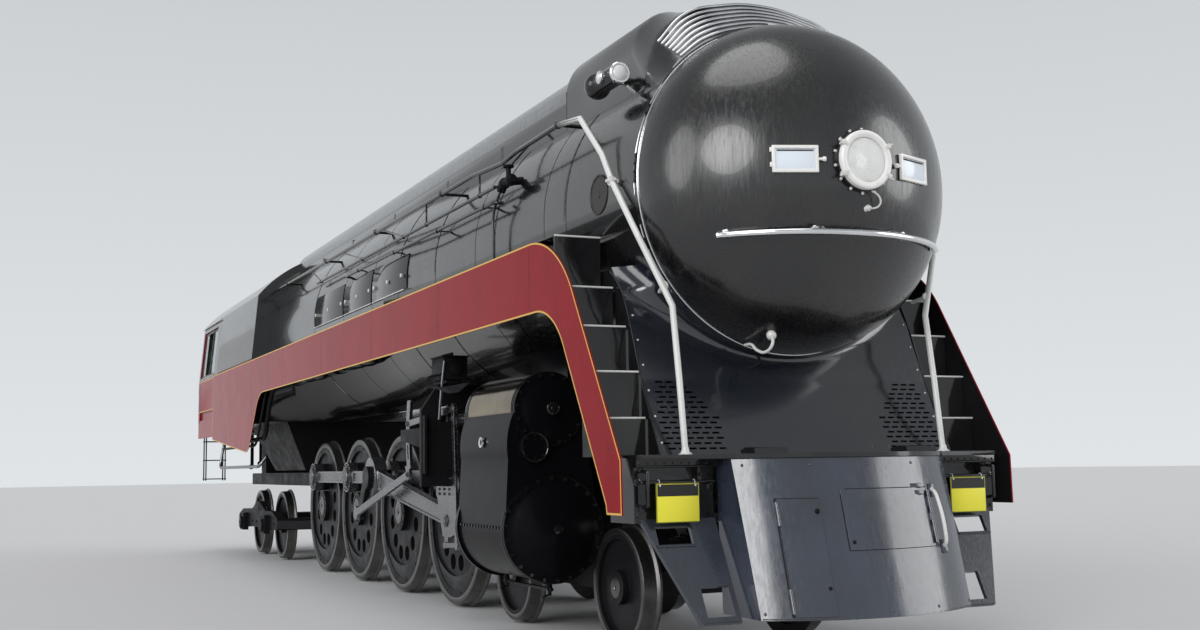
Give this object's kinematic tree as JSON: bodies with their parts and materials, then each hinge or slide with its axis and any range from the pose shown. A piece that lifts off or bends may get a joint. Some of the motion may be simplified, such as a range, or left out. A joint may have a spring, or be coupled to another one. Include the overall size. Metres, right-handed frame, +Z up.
{
  "type": "streamlined 4-8-4 steam locomotive",
  "caption": "Streamlined steam locomotive with a domed nose, full-length top casing, side skirts, enclosed cab and turning driving and truck wheels.",
  "frame": {"origin": "bottom centre of the bounding box, level with the undersides of the wheel flanges", "axes": "+X forwards towards the nose, +Y to the left side, +Z up"},
  "size_m": [18.844, 3.18, 4.9],
  "materials": {
    "black_gloss": "gloss",
    "black_satin": "satin",
    "red_paint": "gloss",
    "bright_steel": "brushed",
    "steel_tyre": "satin",
    "chrome": "polished",
    "cab_green": "satin"
  },
  "bodies": {
    "root": {"apron": "black_gloss", "ash_pan": "black_satin", "backhead": "cab_green", "boiler_jacket": "black_gloss", "cab_floor": "cab_green", "cab_rear": "black_gloss", "cab_roof": "black_gloss", "cylinder_block": "black_satin", "frame_bed": "black_satin", "handrails": "black_satin", "lamps": "black_gloss", "nose_dome": "black_gloss", "pilot_beam": "black_gloss", "pilot_shell": "black_gloss", "skyline_casing": "black_gloss", "frame_right": "black_satin", "frame_left": "black_satin", "skirt_right": "red_paint", "skirt_left": "red_paint", "running_board_right": "black_gloss", "running_board_left": "black_gloss", "cab_side_right": "black_gloss", "cab_side_left": "black_gloss", "guides_right": "bright_steel", "guides_left": "bright_steel", "valve_gear_right": "bright_steel", "valve_gear_left": "bright_steel"},
    "pilot_hatch": {"pilot_hatch": "black_gloss"},
    "coupler_cover": {"coupler_cover": "black_gloss"},
    "main_driver": {"main_driver": "steel_tyre"},
    "driver_1": {"driver_1": "steel_tyre"},
    "driver_3": {"driver_3": "steel_tyre"},
    "driver_4": {"driver_4": "steel_tyre"},
    "lead_truck": {"lead_truck": "black_satin"},
    "lead_axle_front": {"lead_axle_front": "steel_tyre"},
    "lead_axle_rear": {"lead_axle_rear": "steel_tyre"},
    "trail_truck": {"trail_truck": "black_satin"},
    "trail_axle_front": {"trail_axle_front": "steel_tyre"},
    "trail_axle_rear": {"trail_axle_rear": "steel_tyre"},
    "side_rod_right": {"side_rod_right": "bright_steel"},
    "crosshead_right": {"crosshead_right": "bright_steel"},
    "main_rod_right": {"main_rod_right": "bright_steel"},
    "side_rod_left": {"side_rod_left": "bright_steel"},
    "crosshead_left": {"crosshead_left": "bright_steel"},
    "main_rod_left": {"main_rod_left": "bright_steel"}
  },
  "joints": [
    {"name": "drivers_spin", "type": "hinge", "parent": "root", "child": "main_driver", "pos_m": [1.213, 0, 0.9144], "axis": [0, 1, 0], "continuous": true},
    {"name": "driver_1_spin", "type": "hinge", "parent": "root", "child": "driver_1", "pos_m": [3.118, 0, 0.9144], "axis": [0, 1, 0], "continuous": true},
    {"name": "driver_3_spin", "type": "hinge", "parent": "root", "child": "driver_3", "pos_m": [-0.692, 0, 0.9144], "axis": [0, 1, 0], "continuous": true},
    {"name": "driver_4_spin", "type": "hinge", "parent": "root", "child": "driver_4", "pos_m": [-2.597, 0, 0.9144], "axis": [0, 1, 0], "continuous": true},
    {"name": "side_rod_right_pin", "type": "hinge", "parent": "main_driver", "child": "side_rod_right", "pos_m": [1.213, -0.925, 1.3208], "axis": [0, 1, 0], "continuous": true},
    {"name": "crosshead_right_slide", "type": "slide", "parent": "root", "child": "crosshead_right", "axis": [1, 0, 0], "range_m": [-0.3778, 0.435]},
    {"name": "main_rod_right_pin", "type": "hinge", "parent": "crosshead_right", "child": "main_rod_right", "pos_m": [4.08438, -1.12, 0.9144], "axis": [0, 1, 0], "range_deg": [-16.11, 0]},
    {"name": "side_rod_left_pin", "type": "hinge", "parent": "main_driver", "child": "side_rod_left", "pos_m": [0.8066, 0.925, 0.9144], "axis": [0, 1, 0], "continuous": true},
    {"name": "crosshead_left_slide", "type": "slide", "parent": "root", "child": "crosshead_left", "axis": [1, 0, 0], "range_m": [0, 0.8128]},
    {"name": "main_rod_left_pin", "type": "hinge", "parent": "crosshead_left", "child": "main_rod_left", "pos_m": [3.7066, 1.12, 0.9144], "axis": [0, 1, 0], "range_deg": [-8.06, 8.06]},
    {"name": "lead_truck_swivel", "type": "hinge", "parent": "root", "child": "lead_truck", "pos_m": [5.928, 0, 0.4824], "axis": [0, 0, 1], "range_deg": [-2.5, 2.5]},
    {"name": "lead_axle_front_spin", "type": "hinge", "parent": "lead_truck", "child": "lead_axle_front", "pos_m": [7.0455, 0, 0.4824], "axis": [0, 1, 0], "continuous": true},
    {"name": "lead_axle_rear_spin", "type": "hinge", "parent": "lead_truck", "child": "lead_axle_rear", "pos_m": [4.8105, 0, 0.4824], "axis": [0, 1, 0], "continuous": true},
    {"name": "trail_truck_swivel", "type": "hinge", "parent": "root", "child": "trail_truck", "pos_m": [-3.822, 0, 0.5584], "axis": [0, 0, 1], "range_deg": [-2.5, 2.5]},
    {"name": "trail_axle_front_spin", "type": "hinge", "parent": "trail_truck", "child": "trail_axle_front", "pos_m": [-5.542, 0, 0.5584], "axis": [0, 1, 0], "continuous": true},
    {"name": "trail_axle_rear_spin", "type": "hinge", "parent": "trail_truck", "child": "trail_axle_rear", "pos_m": [-7.372, 0, 0.5584], "axis": [0, 1, 0], "continuous": true},
    {"name": "pilot_hatch_hinge", "type": "hinge", "parent": "root", "child": "pilot_hatch", "pos_m": [9.18412, -0.655, 0.815], "axis": [-0.248, 0, 0.9688], "range_deg": [-100, 0]},
    {"name": "coupler_cover_hinge", "type": "hinge", "parent": "root", "child": "coupler_cover", "pos_m": [9.19468, 0.5, 1.0425], "axis": [-0.248, 0, 0.9688], "range_deg": [0, 100]}
  ],
  "couplings": [
    {"joint": "driver_1_spin", "follows": "drivers_spin", "ratio": 1},
    {"joint": "driver_3_spin", "follows": "drivers_spin", "ratio": 1},
    {"joint": "driver_4_spin", "follows": "drivers_spin", "ratio": 1},
    {"joint": "side_rod_right_pin", "follows": "drivers_spin", "ratio": -1},
    {"joint": "side_rod_left_pin", "follows": "drivers_spin", "ratio": -1}
  ]
}
